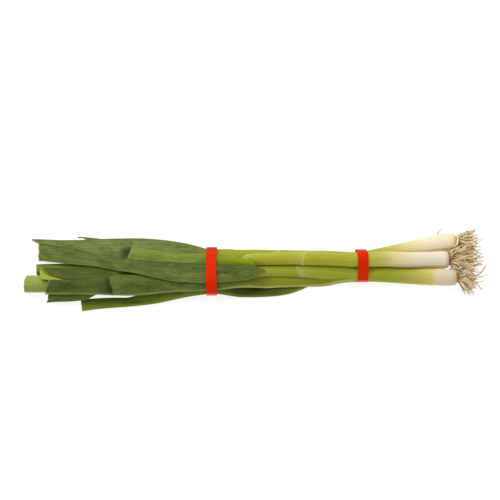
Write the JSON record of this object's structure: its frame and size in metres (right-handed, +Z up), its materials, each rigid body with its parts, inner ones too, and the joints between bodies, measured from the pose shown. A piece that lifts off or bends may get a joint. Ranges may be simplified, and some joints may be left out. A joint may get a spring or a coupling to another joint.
{
  "type": "spring onion bunch",
  "caption": "Trimmed spring onions lying in a bunch, with white bulbs and straw-coloured roots at one end, cut green leaves at the other, held by flat red rubber bands.",
  "frame": {"origin": "Middle of the bounding box in X and Y, at floor level, where the undersides of the bands rest.", "axes": "+X along the bunch towards the roots, +Z up, +Y across the bunch towards the onion whose bulb spreads furthest from the others."},
  "size_m": [0.4158, 0.0766, 0.0275],
  "materials": {
    "band_bulb_end": "satin rubber",
    "band_leaf_end": "satin rubber",
    "leaf_creased": "waxy, satin",
    "leaf_flap": "waxy, satin",
    "leaf_low": "waxy, satin",
    "leaf_sliver": "waxy, satin",
    "leaf_split": "waxy, satin",
    "leaf_stripe": "waxy, satin",
    "leaf_tube_back": "waxy, satin",
    "leaf_tube_front": "waxy, satin",
    "leaf_upper": "waxy, satin",
    "leaf_wide": "waxy, satin",
    "root_plate_back": "rough, fibrous",
    "root_plate_front": "rough, fibrous",
    "root_plate_middle": "rough, fibrous",
    "roots_back": "straw-coloured fibres",
    "roots_front": "straw-coloured fibres",
    "roots_middle": "straw-coloured fibres",
    "shank_back": "pale, satin",
    "shank_front": "pale, satin",
    "shank_middle": "pale, satin"
  },
  "bodies": {
    "root": {"band_bulb_end": "band_bulb_end", "band_leaf_end": "band_leaf_end", "leaf_creased": "leaf_creased", "leaf_flap": "leaf_flap", "leaf_low": "leaf_low", "leaf_sliver": "leaf_sliver", "leaf_split": "leaf_split", "leaf_stripe": "leaf_stripe", "leaf_tube_back": "leaf_tube_back", "leaf_tube_front": "leaf_tube_front", "leaf_upper": "leaf_upper", "leaf_wide": "leaf_wide", "root_plate_back": "root_plate_back", "root_plate_front": "root_plate_front", "root_plate_middle": "root_plate_middle", "roots_back": "roots_back", "roots_front": "roots_front", "roots_middle": "roots_middle", "shank_back": "shank_back", "shank_front": "shank_front", "shank_middle": "shank_middle"}
  },
  "joints": []
}
